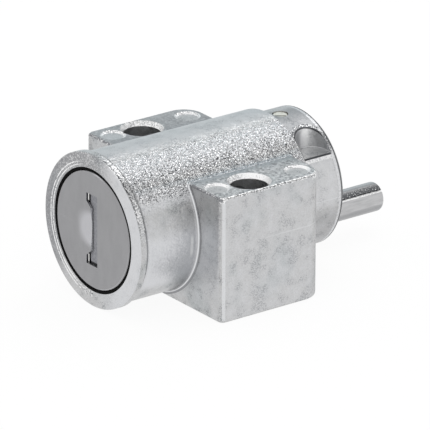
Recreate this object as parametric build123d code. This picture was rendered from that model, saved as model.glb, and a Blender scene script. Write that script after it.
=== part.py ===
from build123d import *
import math
import os

# E-bike battery lock. All sizes are in millimetres.
# The origin lies on the mounting plane, midway between the two screw holes. X points right as
# seen from the key side, Y points rearwards along the cylinder, and Z points up.
# A station is a distance behind the rim's front face, measured along the cylinder.

# places of the main features
axis_height = 10.5
screw_station = 16.5

# housing, turned outside
rim_d = 21.0
rim_len = 1.1
rim_edge_r = 0.15
rim_step_len = 0.5
body_d = 20.2
step_len = 0.7
collar_d = 18.7
collar_len = 5.2
housing_len = 34.0
collar_chamfer = 0.4

# housing, mounting block with its lugs
block_width = 29.8
block_start = 9.7
block_end = 26.5
lug_top = 6.8
lug_front_r = 0.9
lug_rear_r = 3.0
lug_edge_r = 0.4
root_r = 0.6
screw_spacing = 23.4
screw_hole_d = 5.0
screw_mouth_width = 0.4
screw_mouth_depth = 0.65
ejector_mark_d = 3.5
ejector_floor_d = 2.7
ejector_mark_depth = 0.25
ejector_marks = ((11.2, 11.7), (12.2, 23.9), (-12.0, 12.0), (-11.8, 24.0))

# housing, inside
bore_d = 16.9
rear_wall = 6.6
bore_bevel_width = 0.95
bore_bevel_depth = 0.12

# half-round pocket in the collar
pocket_width = 4.4
pocket_from_rear = 3.1
pocket_end_x = 6.2
pocket_floor = 5.57

# how far a cut runs past the surface that it opens
past = 1.0

# how near a place an edge lies to be picked there
pick_margin = 0.01
root_pick_margin = 0.1

# running and assembly clearances
running_gap = 0.05
side_gap = 0.1
body_gap = 0.3
wall_gap = 0.02

# face cap and its seal
cap_d = 16.0
cap_wall = 0.4
cap_front = 0.3
cap_station = 0.1
cap_skirt_len = 2.55
cap_edge_r = 0.2
crimp_len = 0.2
crimp_depth = 0.25
seal_station = 0.15
seal_len = 2.65
seal_edge_r = 0.15

# keyway, in the cap and right through the plug
keyway_left = -0.46
keyway_right = 1.0
keyway_half_height = 4.9

# dished lip on the keyway's left in the cap, with a notch at each end
lip_half_height = 3.0
lip_reach = 2.9
lip_edge_thickness = 0.06
notch_left = -1.4
notch_start = 3.8

# plug
plug_d = 14.4
keyway_to_retainer = 1.6
tongue_width = 6.0
tongue_height = 3.0
tongue_len = 1.4

# dust shutter
shutter_gap = 0.15
shutter_thickness = 0.45
shutter_left = -1.05
shutter_half_height = 5.05
hinge_x = 2.2
hinge_station = 1.35
hinge_pin_d = 0.8
hinge_pin_half_len = 6.2
barrel_d = 1.5
hinge_hole_gap = 0.02
spring_window = 1.0
cavity_depth = 4.9
cavity_side_gap = 0.2
cavity_chamfer = 0.15
shutter_wire_d = 0.2
shutter_coil_turns = 4
shutter_coil_pitch = 0.3
shutter_leg_angle = 110.0
shutter_leg_len = 2.2
anchor_leg_len = 1.5
anchor_hole_width = 0.5

# wafers and their springs
wafer_count = 7
wafer_pitch = 2.0
first_wafer_station = 6.8
wafer_thickness = 1.0
wafer_width = 6.4
wafer_travel = 0.6
window_width = 3.2
nub_reach = 0.9
nub_height = 0.9
code_steps = (1, 3, 2, 0, 3, 1, 2)
code_step = 0.6
lowest_nub = -0.9
ear_reach = 5.0
ear_height = 1.0
spring_well_width = 1.5
spring_floor = -4.1
wafer_coil_d = 1.3
wafer_wire_d = 0.22
wafer_coil_turns = 6

# plate that holds the plug in, and its spring
retainer_from_plug_end = 2.0
retainer_width = 5.0
retainer_foot = 0.6
retainer_floor = -3.6
retainer_coil_d = 1.7
retainer_wire_d = 0.26
retainer_coil_turns = 6

# sleeve that the wafers lock into
sleeve_start = 3.1
sleeve_short_of_plug = 0.1
slot_margin = 0.8
slot_side_gap = 0.2
retainer_groove_len = 1.5

# driver, washer and retaining pin
disc_gap = 0.2
disc_thickness = 3.1
journal_d = 5.2
journal_sink = 0.3
journal_chamfer = 0.4
drive_pin_d = 4.0
drive_pin_offset = 6.04
drive_pin_reach = 12.6
drive_pin_edge_r = 0.5
trim_flat_angle = 62.0
trim_flat_depth = 0.07
drive_pin_root_width = 4.2
drive_pin_root_angle = 16.0
drive_pin_root_sink = 0.1
slot_end_gap = 0.15
turn_angle = 90.0
washer_thickness = 0.4
washer_d = 7.3
pin_d = 2.0
pin_from_rear = 3.6
pin_sink = 0.12
pin_hole_gap = 0.06
pin_edge_r = 0.15
groove_floor_r = 1.7
groove_side_gap = 0.12

# stations that follow from the housing's length, from the rear forwards
drive_pin_end = housing_len + drive_pin_reach
drive_pin_root_end = housing_len - drive_pin_root_sink
journal_end = housing_len - journal_sink
pocket_station = housing_len - pocket_from_rear
pin_station = housing_len - pin_from_rear
body_end = housing_len - collar_len - step_len
bore_len = housing_len - rear_wall
disc_end = bore_len - washer_thickness - 2 * running_gap
disc_start = disc_end - disc_thickness
plug_end = disc_start - disc_gap
sleeve_end = plug_end - sleeve_short_of_plug
retainer_station = plug_end - retainer_from_plug_end
keyway_end = retainer_station - keyway_to_retainer

# other sizes that follow from the ones above
bore_r = bore_d / 2
body_r = body_d / 2
collar_r = collar_d / 2
cap_r = cap_d / 2
plug_r = plug_d / 2
sleeve_r = bore_r - wall_gap
sleeve_bore_r = plug_r + running_gap
flange_r = cap_r - cap_wall - wall_gap
flange_start = cap_station + cap_front + wall_gap
flange_end = cap_station + cap_skirt_len
wafer_r = plug_r - running_gap
window_half_height = keyway_half_height + wafer_travel + side_gap
shutter_front = cap_station + cap_front + shutter_gap
retainer_reach = plug_r + wafer_travel

axis_plane = Plane(
    origin=(0, -screw_station, axis_height), x_dir=(0, 1, 0), z_dir=(1, 0, 0)
)
cylinder_axis = Axis((0, -screw_station, axis_height), (0, 1, 0))


def turned(*points):
    """A solid turned about the cylinder's axis, from points given as station and radius."""
    return revolve(axis_plane * make_face(Polyline(*points, close=True)), cylinder_axis)


def tube(inner, outer, start, end):
    """A ring about the cylinder's axis between two radii and two stations."""
    return turned((start, inner), (end, inner), (end, outer), (start, outer))


def slab(sketch, start, end):
    """A sketch drawn across the cylinder, with x across and y up, made solid between stations."""
    plane = Plane(
        origin=(0, end - screw_station, axis_height), x_dir=(1, 0, 0), z_dir=(0, -1, 0)
    )
    return extrude(plane * sketch, amount=end - start)


def rod(radius, start, end):
    """A round bar along the cylinder's axis between two stations."""
    return slab(Circle(radius), start, end)


def block(across, along, up):
    """A box between limits across, along as stations, and up from the cylinder's axis."""
    limits = (across, [s - screw_station for s in along], [z + axis_height for z in up])
    sizes = [high - low for low, high in limits]
    middle = [(high + low) / 2 for low, high in limits]
    return Pos(*middle) * Box(*sizes)


def upright(radius, x, station, up):
    """An upright round bar between two heights above the cylinder's axis."""
    low, high = up
    place = Pos(x, station - screw_station, axis_height + (low + high) / 2)
    return place * Cylinder(radius, high - low)


def half_turned(solid):
    """The same solid turned half round about the cylinder's axis."""
    return solid.rotate(cylinder_axis, 180)


def round_edges(solid, station):
    """The round edges of a solid that lie at a station."""
    middle = station - screw_station
    rims = solid.edges().filter_by(GeomType.CIRCLE)
    return rims.filter_by_position(Axis.Y, middle - pick_margin, middle + pick_margin)


def coil_edges(radius, pitch, start_angle, turns):
    """A coil's centre line about Z, as pairs of tangent arcs that each span a quarter turn."""
    count = round(4 * turns)
    rise = pitch / (2 * math.pi)
    edges = []
    for k in range(count):
        ends = []
        for step in (k, k + 1):
            turned_by = 2 * math.pi * turns * step / count
            angle = math.radians(start_angle) + turned_by
            point = Vector(
                radius * math.cos(angle), radius * math.sin(angle), rise * turned_by
            )
            along = Vector(-radius * math.sin(angle), radius * math.cos(angle), rise)
            ends.append((point, along.normalized()))
        (first, out), (last, into) = ends
        chord = last - first
        spread = 2 * (1 - out.dot(into))
        across = chord.dot(out + into)
        reach = (math.sqrt(across**2 + spread * chord.dot(chord)) - across) / spread
        elbow = first + out * reach
        knee = last - into * reach
        joint = (elbow + knee) / 2
        edges.append(Edge.make_tangent_arc(first, out, joint))
        edges.append(Edge.make_tangent_arc(joint, knee - elbow, last))
    return edges


def wire_tube(edges, wire_d):
    """Round wire along joined edges, one unbroken tube."""
    path = Wire(edges)
    start = Plane(origin=path @ 0, z_dir=path % 0)
    return sweep(start * Circle(wire_d / 2), path=path)


def compression_coil(coil_d, wire_d, turns, x, station, up):
    """An upright coil spring that fills the space between two heights."""
    low, high = up
    travel = high - low - wire_d - 2 * wall_gap
    edges = coil_edges((coil_d - wire_d) / 2, travel / turns, 0, turns)
    base = axis_height + low + wall_gap + wire_d / 2
    return Pos(x, station - screw_station, base) * wire_tube(edges, wire_d)


def keyway_sketch():
    """The keyway's outline in the plug: a tall slot, right of the cylinder's axis."""
    middle = (keyway_left + keyway_right) / 2
    return Pos(middle, 0) * Rectangle(keyway_right - keyway_left, 2 * keyway_half_height)


def cap_opening():
    """The cap's opening: the keyway, with a notch to its left at each end of the lip."""
    return make_face(
        Polyline(
            (keyway_left, -lip_half_height),
            (notch_left, -notch_start),
            (notch_left, -keyway_half_height),
            (keyway_right, -keyway_half_height),
            (keyway_right, keyway_half_height),
            (notch_left, keyway_half_height),
            (notch_left, notch_start),
            (keyway_left, lip_half_height),
            close=True,
        )
    )


def lip_scoop():
    """The shallow round-bottomed scoop in the cap's front that dishes the lip to the keyway."""
    depth = cap_front - lip_edge_thickness
    tilt = math.degrees(math.atan2(depth, lip_reach))
    radius = (lip_half_height**2 + depth**2) / (2 * depth)
    overrun = (keyway_right - keyway_left) / 2
    length = lip_reach + past + overrun
    lip_edge = Pos(keyway_left, cap_station + depth - screw_station, axis_height)
    bar = Rot(0, 90, 0) * Cylinder(radius, length)
    return lip_edge * Rot(0, 0, tilt) * Pos(overrun - length / 2, -radius, 0) * bar


def wafer_station(index):
    """The station of a wafer's middle plane, counted from the key side."""
    return first_wafer_station + index * wafer_pitch


def lifts_up(index):
    """Every other wafer moves up to lock, and the rest are the same part turned half round."""
    return index % 2 == 0


def housing_outside():
    """The turned outside: rim, body and the smaller collar behind it."""
    rim_r = rim_d / 2
    outline = turned(
        (0, 0),
        (0, rim_r),
        (rim_len, rim_r),
        (rim_len + rim_step_len, body_r),
        (body_end, body_r),
        (body_end + step_len, collar_r),
        (housing_len, collar_r),
        (housing_len, 0),
    )
    outline = fillet(round_edges(outline, 0), rim_edge_r)
    return chamfer(round_edges(outline, housing_len), collar_chamfer)


def mounting_block():
    """The cast block under and beside the body: flat below, with a lug each side."""
    half = block_width / 2
    solid = block((-half, half), (block_start, block_end), (-axis_height, lug_top))
    corners = solid.edges().filter_by(Axis.Z)
    rear = corners.filter_by(lambda e: e.center().Y > 0)
    solid = fillet(rear, lug_rear_r)
    corners = solid.edges().filter_by(Axis.Z)
    front = corners.filter_by(lambda e: e.center().Y < block_start - screw_station + pick_margin)
    solid = fillet(front, lug_front_r)
    ends = solid.faces().filter_by(Axis.Z)
    return fillet(ends.edges(), lug_edge_r)


def casting_outside():
    """The turned outside and the block in one, with the rounded root where they meet."""
    solid = housing_outside() + mounting_block()
    root_x = math.sqrt(body_r**2 - lug_top**2)
    root_z = axis_height + lug_top

    def along_lug_top(edge):
        """Whether an edge runs where a lug's top meets the body."""
        middle = edge.center()
        off = max(abs(abs(middle.X) - root_x), abs(middle.Z - root_z))
        return off < root_pick_margin

    return fillet(solid.edges().filter_by(along_lug_top), root_r)


def screw_hole(side):
    """One upright screw hole with a sloping mouth at both ends."""
    radius = screw_hole_d / 2
    x = side * screw_spacing / 2
    hole = upright(radius, x, screw_station, (-axis_height - past, lug_top + past))
    cone = Cone(radius + screw_mouth_width, radius, screw_mouth_depth)
    low = Pos(x, 0, screw_mouth_depth / 2) * cone
    high = Pos(x, 0, axis_height + lug_top - screw_mouth_depth / 2) * Rot(180, 0, 0) * cone
    return hole + low + high


def ejector_mark(x, station):
    """A shallow round dish with a sloping wall, as an ejector pin leaves it in a lug's top."""
    dish = Cone(ejector_floor_d / 2, ejector_mark_d / 2, ejector_mark_depth)
    up = axis_height + lug_top - ejector_mark_depth / 2
    return Pos(x, station - screw_station, up) * dish


def collar_pocket():
    """The half-round pocket in the collar's upper right, open to the side."""
    half = pocket_width / 2
    up = (pocket_floor, collar_r + past)
    end = upright(half, pocket_end_x, pocket_station, up)
    along = (pocket_station - half, pocket_station + half)
    return end + block((pocket_end_x, collar_r + past), along, up)


def curved_bar(width, sweep, start, end):
    """A bar with round ends, curved about the cylinder's axis, from the drive pin clockwise."""
    first = 270 + drive_pin_root_angle / 2 - sweep
    path = CenterArc((0, 0), drive_pin_offset, first, sweep)
    return slab(SlotArc(path, width), start, end)


def drive_slot():
    """The curved slot in the rear wall that the drive pin's root swings along."""
    width = drive_pin_root_width + 2 * slot_end_gap
    sweep = drive_pin_root_angle + turn_angle
    return curved_bar(width, sweep, bore_len - past, housing_len + past)


def make_housing():
    """The zinc casting that everything sits in."""
    solid = casting_outside()
    solid -= rod(bore_r, -past, bore_len)
    bevel_r = bore_r + bore_bevel_width
    solid -= turned((-past, 0), (-past, bevel_r), (0, bevel_r), (bore_bevel_depth, bore_r), (past, 0))
    for side in (-1, 1):
        solid -= screw_hole(side)
    for x, station in ejector_marks:
        solid -= ejector_mark(x, station)
    solid -= collar_pocket()
    solid -= rod(journal_d / 2 + running_gap, bore_len - past, housing_len + past)
    solid -= drive_slot()
    solid -= upright(pin_d / 2 + pin_hole_gap, 0, pin_station, (0, collar_r + past))
    return solid


def make_sleeve():
    """The sleeve in the bore, with four slots for the wafers and a groove for the retainer."""
    solid = tube(sleeve_bore_r, sleeve_r, sleeve_start, sleeve_end)
    half = wafer_width / 2 + slot_side_gap
    along = (wafer_station(0) - slot_margin, wafer_station(wafer_count - 1) + slot_margin)
    reach = bore_r + past
    solid -= block((-half, half), along, (-reach, reach))
    solid -= block((-reach, reach), along, (-half, half))
    groove_r = retainer_reach + side_gap
    half_groove = retainer_groove_len / 2
    start = retainer_station - half_groove
    end = retainer_station + half_groove
    return solid - tube(sleeve_bore_r - past, groove_r, start, end)


def make_plug():
    """The part that the key turns: flange, keyway, wafer slots, spring wells and tongue."""
    solid = rod(flange_r, flange_start, flange_end) + rod(plug_r, flange_end, plug_end)
    half_tongue = (tongue_width / 2, tongue_height / 2)
    solid += block(
        (-half_tongue[0], half_tongue[0]),
        (plug_end - past, plug_end + tongue_len),
        (-half_tongue[1], half_tongue[1]),
    )
    solid -= slab(keyway_sketch(), flange_start - past, keyway_end)
    solid -= shutter_cavity()
    for index in range(wafer_count):
        slot = wafer_slot()
        if not lifts_up(index):
            slot = half_turned(slot)
        solid -= Pos(0, index * wafer_pitch, 0) * slot
    return solid - retainer_slot()


def shutter_cavity():
    """The space behind the cap for the shutter, with its bevelled edge, hinge and anchor holes."""
    left = shutter_left - cavity_side_gap
    right = hinge_x + barrel_d / 2 + cavity_side_gap
    tall = shutter_half_height + cavity_side_gap
    space = block((left, right), (flange_start - past, flange_start + cavity_depth), (-tall, tall))
    bevel = Polyline(
        (left, flange_start + cavity_chamfer),
        (left - cavity_chamfer, flange_start),
        (left - cavity_chamfer, flange_start - past),
        (left, flange_start - past),
        close=True,
    )
    level = Pos(0, -screw_station, axis_height)
    space += extrude(level * make_face(bevel), amount=tall, both=True)
    pin_hole_r = hinge_pin_d / 2 + hinge_hole_gap
    space += upright(pin_hole_r, hinge_x, hinge_station, (-hinge_pin_half_len, flange_r + past))
    half = anchor_hole_width / 2
    station = hinge_station + shutter_coil_r()
    height = shutter_coil_base()
    return space + block(
        (right - past, hinge_x + anchor_leg_len + side_gap),
        (station - half, station + half),
        (height - half, height + half),
    )


def wafer_slot():
    """The first wafer's slot through the plug, with the well for its ear and spring."""
    station = wafer_station(0)
    half_thick = wafer_thickness / 2 + running_gap
    half_wide = wafer_width / 2 + running_gap
    reach = plug_r + past
    along = (station - half_thick, station + half_thick)
    slot = block((-half_wide, half_wide), along, (-reach, reach))
    half_well = spring_well_width / 2
    well_along = (station - half_well, station + half_well)
    well_across = (wafer_width / 2 - side_gap, ear_reach + side_gap)
    return slot + block(well_across, well_along, (spring_floor, reach))


def retainer_slot():
    """The slot for the plate that holds the plug in, with the round well for its spring."""
    half_thick = wafer_thickness / 2 + running_gap
    half_wide = retainer_width / 2 + running_gap
    low = retainer_foot - wafer_travel - side_gap
    along = (retainer_station - half_thick, retainer_station + half_thick)
    slot = block((-half_wide, half_wide), along, (low, plug_r + past))
    well_r = retainer_coil_d / 2 + side_gap
    return slot + upright(well_r, 0, retainer_station, (retainer_floor, plug_r + past))


def make_cap():
    """The thin cap over the plug's flange, with its skirt crimped behind it."""
    inner = cap_r - cap_wall
    front = cap_station
    back = flange_end + wall_gap
    rear = back + crimp_len
    solid = turned(
        (front, 0),
        (front, cap_r),
        (rear, cap_r),
        (rear, inner - crimp_depth),
        (back, inner - crimp_depth),
        (back, inner),
        (front + cap_front, inner),
        (front + cap_front, 0),
    )
    solid = fillet(round_edges(solid, front), cap_edge_r)
    return solid - slab(cap_opening(), front - past, front + cap_front + past) - lip_scoop()


def make_seal():
    """The black ring that fills the gap between the cap and the bore."""
    solid = tube(
        cap_r + running_gap, bore_r - wall_gap, seal_station, seal_station + seal_len
    )
    return fillet(round_edges(solid, seal_station), seal_edge_r)


def make_shutter():
    """The plate that closes the keyway, with a barrel round its hinge pin."""
    back = shutter_front + shutter_thickness
    up = (-shutter_half_height, shutter_half_height)
    plate = block((shutter_left, hinge_x), (shutter_front, back), up)
    barrel = upright(barrel_d / 2, hinge_x, hinge_station, up)
    barrel -= block(
        (hinge_x - barrel_d, hinge_x + barrel_d),
        (back, hinge_station + barrel_d),
        (-spring_window, spring_window),
    )
    solid = plate + barrel
    coil_room = shutter_coil_r() + shutter_wire_d / 2 + running_gap
    solid -= upright(coil_room, hinge_x, hinge_station, (-spring_window, spring_window))
    return solid - upright(hinge_pin_d / 2 + hinge_hole_gap, hinge_x, hinge_station, up)


def make_shutter_pin():
    """The upright pin that the shutter turns on."""
    up = (-hinge_pin_half_len + wall_gap, hinge_pin_half_len)
    return upright(hinge_pin_d / 2, hinge_x, hinge_station, up)


def shutter_coil_r():
    """Radius of the shutter spring's centre line, just clear of the hinge pin."""
    return hinge_pin_d / 2 + running_gap + shutter_wire_d / 2


def shutter_coil_base():
    """Height of the shutter spring's lowest turn above the cylinder's axis."""
    return -shutter_coil_turns * shutter_coil_pitch / 2


def make_shutter_spring():
    """The torsion spring round the hinge pin: one leg in the plug, one behind the shutter."""
    radius = shutter_coil_r()
    turns = shutter_coil_turns + (shutter_leg_angle - 90) / 360
    edges = coil_edges(radius, shutter_coil_pitch, 90, turns)
    first = edges[0] @ 0
    last = edges[-1] @ 1
    anchor = Edge.make_line(first - (edges[0] % 0) * anchor_leg_len, first)
    leg = Edge.make_line(last, last + (edges[-1] % 1) * shutter_leg_len)
    place = Pos(hinge_x, hinge_station - screw_station, axis_height + shutter_coil_base())
    return place * wire_tube([anchor, *edges, leg], shutter_wire_d)


def make_wafer(index):
    """A wafer: a plate with a window for the key, a nub that follows it and an ear."""
    station = wafer_station(index)
    half_thick = wafer_thickness / 2
    outline = Circle(wafer_r) & Rectangle(wafer_width, 2 * wafer_r)
    window = Rectangle(window_width, 2 * window_half_height)
    ear_x = (wafer_width / 2 + ear_reach) / 2
    ear = Pos(ear_x, 0) * Rectangle(ear_reach - wafer_width / 2, ear_height)
    nub_z = lowest_nub + code_steps[index] * code_step
    nub = Pos((window_width - nub_reach) / 2, nub_z) * Rectangle(nub_reach, nub_height)
    sketch = outline - window + ear + nub
    solid = slab(sketch, station - half_thick, station + half_thick)
    return solid if lifts_up(index) else half_turned(solid)


def make_wafer_spring(index):
    """The coil spring under a wafer's ear."""
    x = (wafer_width / 2 + ear_reach) / 2 + side_gap
    solid = compression_coil(
        wafer_coil_d,
        wafer_wire_d,
        wafer_coil_turns,
        x,
        wafer_station(index),
        (spring_floor, -ear_height / 2),
    )
    return solid if lifts_up(index) else half_turned(solid)


def make_retainer():
    """The sprung plate that snaps into the sleeve's groove and holds the plug in."""
    outline = Circle(retainer_reach) & Rectangle(retainer_width, 2 * retainer_reach)
    above = Pos(0, retainer_foot + retainer_reach) * Rectangle(
        retainer_width, 2 * retainer_reach
    )
    half_thick = wafer_thickness / 2
    return slab(outline & above, retainer_station - half_thick, retainer_station + half_thick)


def make_retainer_spring():
    """The coil spring under the retainer."""
    return compression_coil(
        retainer_coil_d,
        retainer_wire_d,
        retainer_coil_turns,
        0,
        retainer_station,
        (retainer_floor, retainer_foot),
    )


def trim_flat():
    """The narrow flat along the drive pin where the casting's flash was trimmed off."""
    low = drive_pin_d / 2 - trim_flat_depth
    sketch = Pos(low + past / 2, 0) * Rectangle(past, drive_pin_d)
    return slab(Rot(0, 0, trim_flat_angle) * sketch, drive_pin_root_end, drive_pin_end + past)


def make_driver():
    """The disc that the plug's tongue turns, with its journal and off-centre drive pin."""
    solid = rod(bore_r - body_gap, disc_start, disc_end)
    journal = turned(
        (disc_end - past, 0),
        (disc_end - past, journal_d / 2),
        (journal_end - journal_chamfer, journal_d / 2),
        (journal_end, journal_d / 2 - journal_chamfer),
        (journal_end, 0),
    )
    half_groove = pin_d / 2 + groove_side_gap
    groove = (pin_station - half_groove, pin_station + half_groove)
    journal -= tube(groove_floor_r, journal_d, *groove)
    low = Pos(0, 0, -drive_pin_offset)
    root = curved_bar(
        drive_pin_root_width, drive_pin_root_angle, disc_end - past, drive_pin_root_end
    )
    pin = low * rod(drive_pin_d / 2, drive_pin_root_end - past, drive_pin_end)
    pin = fillet(round_edges(pin, drive_pin_end), drive_pin_edge_r)
    pin -= low * trim_flat()
    half_wide = tongue_width / 2 + running_gap
    half_tall = tongue_height / 2 + running_gap
    tongue_room = block(
        (-half_wide, half_wide),
        (disc_start - past, plug_end + tongue_len + side_gap),
        (-half_tall, half_tall),
    )
    return solid + journal + root + pin - tongue_room


def make_washer():
    """The thrust washer round the journal, between the disc and the rear wall."""
    start = disc_end + running_gap
    return tube(journal_d / 2 + running_gap, washer_d / 2, start, start + washer_thickness)


def make_retaining_pin():
    """The brass pin from the collar's top down into the journal's groove."""
    low = groove_floor_r + side_gap
    solid = upright(pin_d / 2, 0, pin_station, (low, collar_r - pin_sink))
    return fillet(solid.edges().filter_by(GeomType.CIRCLE), pin_edge_r)


pieces = {
    "housing": make_housing(),
    "cylinder_sleeve": make_sleeve(),
    "plug": make_plug(),
    "face_cap": make_cap(),
    "face_seal": make_seal(),
    "dust_shutter": make_shutter(),
    "shutter_pin": make_shutter_pin(),
    "shutter_spring": make_shutter_spring(),
    "plug_retainer": make_retainer(),
    "retainer_spring": make_retainer_spring(),
    "driver": make_driver(),
    "thrust_washer": make_washer(),
    "retaining_pin": make_retaining_pin(),
}
for number in range(wafer_count):
    pieces[f"wafer_{number + 1}"] = make_wafer(number)
    pieces[f"wafer_spring_{number + 1}"] = make_wafer_spring(number)

for name, solid in pieces.items():
    export_step(solid, f"parts/{name}.step")
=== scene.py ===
# The looks of an e-bike battery lock: a zinc casting with a lock cylinder inside it.
# Lengths are in metres in the model's own frame: X right as seen from the key side, Y rearwards
# along the cylinder, Z up from the mounting face. Sizes are written in millimetres, times MM.
# A station is a distance behind the rim's front face, and an angle round the cylinder or the
# drive pin counts from the top towards +X.

import logging
import math
from dataclasses import dataclass, field
from enum import Enum
from typing import Any

import bmesh
import bpy
from mathutils import Matrix, Vector


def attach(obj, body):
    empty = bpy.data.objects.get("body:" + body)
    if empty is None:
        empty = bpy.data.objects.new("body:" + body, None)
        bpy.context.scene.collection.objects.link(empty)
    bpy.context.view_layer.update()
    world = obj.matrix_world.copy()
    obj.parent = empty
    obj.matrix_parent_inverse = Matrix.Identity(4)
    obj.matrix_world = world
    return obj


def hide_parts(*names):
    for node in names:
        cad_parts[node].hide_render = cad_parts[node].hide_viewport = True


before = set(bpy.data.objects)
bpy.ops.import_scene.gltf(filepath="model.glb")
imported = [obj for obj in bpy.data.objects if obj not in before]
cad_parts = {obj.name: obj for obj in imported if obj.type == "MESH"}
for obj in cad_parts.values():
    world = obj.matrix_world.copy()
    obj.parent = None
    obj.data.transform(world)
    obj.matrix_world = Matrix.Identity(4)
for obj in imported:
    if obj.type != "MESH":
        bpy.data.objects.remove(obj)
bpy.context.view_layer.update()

MM = 0.001
AXIS_HEIGHT = 10.5
SCREW_STATION = 16.5
WHITE = "#ffffff"
log = logging.getLogger("lock")

Material = bpy.types.Material
Node = bpy.types.Node
Socket = bpy.types.NodeSocket
Tree = bpy.types.NodeTree
Inputs = dict[str | int, Any]
Span = tuple[float, float]
Triple = tuple[float, float, float]


class Ray(Enum):
    """The kinds of ray that see the studio's white background."""

    CAMERA = "Is Camera Ray"
    GLOSSY = "Is Glossy Ray"
    TRANSMISSION = "Is Transmission Ray"


class Tone(Enum):
    """The tones of the cards that shape the reflections."""

    BLACK = "#202122"
    COOL = "#e1e9ec"


class By(Enum):
    """What a mask goes by: a place in millimetres, an angle in degrees, a facing or a pattern."""

    X = "across"
    Y = "along the cylinder"
    Z = "up"
    SIDE = "out to either side"
    FACING_X = "facing +X"
    FACING_Y = "facing +Y"
    LEAN_X = "facing across, either way"
    LEAN_Y = "facing along, either way"
    LEAN_Z = "facing up or down"
    SQUARE = "facing squarely one way"
    RADIUS = "out from the axis"
    ANGLE = "round the axis"
    FLANK = "down either flank of the body"
    BEVEL = "off the nearest bevel line"
    POCKET = "off the middle line of the pocket"
    TOWARD_SHADED_GAP = "towards the pin's nick"
    CLOUDS = "wide clouds"
    STAINS = "stains"
    MOTTLE = "mottling"
    WAVES = "low waves"
    GRIT = "coarse flecks"
    FLECKS = "fine flecks"
    STREAKS = "streaks of rolling, turning or drawing"
    FACET = "random direction of each facet"
    FACET_DARK = "its first part"
    FACET_BRIGHT = "its second part"
    FACET_DULL = "its third part"
    GLINT = "bright facets near the top"
    SPARK = "bright facets lower down"
    SPECK = "dark facets near the top"
    LOW_DARK_FACET = "dark facets lower down"


def linear(hex_colour: str) -> tuple[float, float, float, float]:
    """Turns an sRGB hex colour into the linear colour that a shader takes.

    Args:
        hex_colour: Six hex digits with or without a leading hash.

    Returns:
        Red, green, blue and an alpha of 1.
    """
    digits = hex_colour.lstrip("#")
    channels = []
    for start in (0, 2, 4):
        value = int(digits[start:start + 2], 16) / 255
        channels.append(value / 12.92 if value <= 0.04045 else ((value + 0.055) / 1.055) ** 2.4)
    return (*channels, 1.0)


def add_node(tree: Tree, kind: str, links: Inputs | None = None, values: Inputs | None = None,
             **options: Any) -> Node:
    """Adds a node with its settings and its incoming links.

    Args:
        tree: The node tree that gets the node.
        kind: The node's type name.
        links: Input sockets, by name or number, and the output that each is fed from.
        values: Input sockets, by name or number, and the value that each is set to.
        options: The node's own properties.

    Returns:
        The new node.
    """
    node = tree.nodes.new(kind)
    for name, value in options.items():
        setattr(node, name, value)
    for socket, value in (values or {}).items():
        node.inputs[socket].default_value = value
    for socket, source in (links or {}).items():
        tree.links.new(source, node.inputs[socket])
    return node


def blank_material(name: str) -> Material:
    """Makes a material with an empty node tree.

    Args:
        name: The material's name.

    Returns:
        The new material.
    """
    material = bpy.data.materials.new(name)
    material.use_nodes = True
    material.node_tree.nodes.clear()
    return material


@dataclass(frozen=True)
class Ramp:
    """A mask that rises smoothly from 0 where its measure is at start to top where it is at end."""

    by: By
    start: float
    end: float
    top: float = 1.0


@dataclass(frozen=True)
class Outside:
    """A mask that is open where the product of other masks is shut."""

    masks: tuple[Ramp, ...]


Masks = tuple[Ramp | Outside, ...]
# A tone, and the masks that all have to be open for it.
Layer = tuple[str, Masks]


def strip(by: By, low: float, high: float, soft: float, top: float = 1.0) -> tuple[Ramp, Ramp]:
    """Gives the two masks that leave a span open up to a top, with soft ends outside the span."""
    return Ramp(by, low - soft, low, top), Ramp(by, high + soft, high)


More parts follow.
